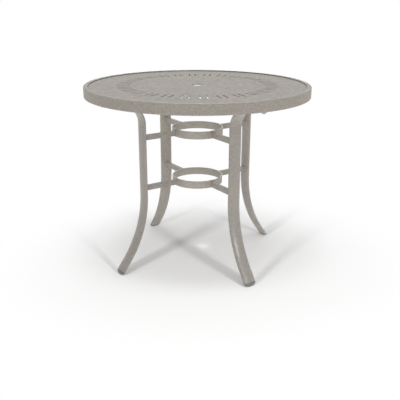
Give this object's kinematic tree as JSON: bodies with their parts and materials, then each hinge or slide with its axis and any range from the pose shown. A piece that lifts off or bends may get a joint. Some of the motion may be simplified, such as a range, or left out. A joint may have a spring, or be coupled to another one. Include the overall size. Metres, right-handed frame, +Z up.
{
  "type": "balcony table",
  "caption": "Round balcony table with a slotted umbrella-hole top in a deep rim, on flared oval-tube legs tied by rings on the axis.",
  "frame": {"origin": "on the floor, on the axis of the round top", "axes": "+Z up along the axis of the top; one leg stands on each of +X, +Y, -X and -Y"},
  "size_m": [1.0667, 1.0668, 0.8763],
  "materials": {
    "powder_coat": "textured warm-grey powder coat, satin",
    "glide_plastic": "moulded grey nylon, matt",
    "plug_plastic": "moulded warm-grey plastic, matt",
    "zinc_steel": "dull zinc plate"
  },
  "bodies": {
    "root": {"brace_weld_beads": "powder_coat", "brace_weld_nuts": "zinc_steel", "foot_glide_back": "glide_plastic", "foot_glide_front": "glide_plastic", "foot_glide_left": "glide_plastic", "foot_glide_right": "glide_plastic", "ledge_stitch_welds": "powder_coat", "leg_back": "powder_coat", "leg_bolt_sleeves": "zinc_steel", "leg_bolt_washers": "zinc_steel", "leg_bolts": "zinc_steel", "leg_front": "powder_coat", "leg_left": "powder_coat", "leg_right": "powder_coat", "leg_saddle_back": "powder_coat", "leg_saddle_front": "powder_coat", "leg_saddle_left": "powder_coat", "leg_saddle_right": "powder_coat", "leg_tip_plug_back": "plug_plastic", "leg_tip_plug_front": "plug_plastic", "leg_tip_plug_left": "plug_plastic", "leg_tip_plug_right": "plug_plastic", "leg_weld_beads": "powder_coat", "lower_ring": "powder_coat", "lower_strut_back": "powder_coat", "lower_strut_front": "powder_coat", "lower_strut_left": "powder_coat", "lower_strut_right": "powder_coat", "panel_brace_back": "powder_coat", "panel_brace_front": "powder_coat", "panel_brace_left": "powder_coat", "panel_brace_right": "powder_coat", "panel_ledge": "powder_coat", "panel_stitch_welds": "powder_coat", "rim_hoop": "powder_coat", "ring_weld_beads": "powder_coat", "stiffener_ring": "powder_coat", "top_panel": "powder_coat", "upper_ring": "powder_coat", "upper_strut_back": "powder_coat", "upper_strut_front": "powder_coat", "upper_strut_left": "powder_coat", "upper_strut_right": "powder_coat"}
  },
  "joints": []
}
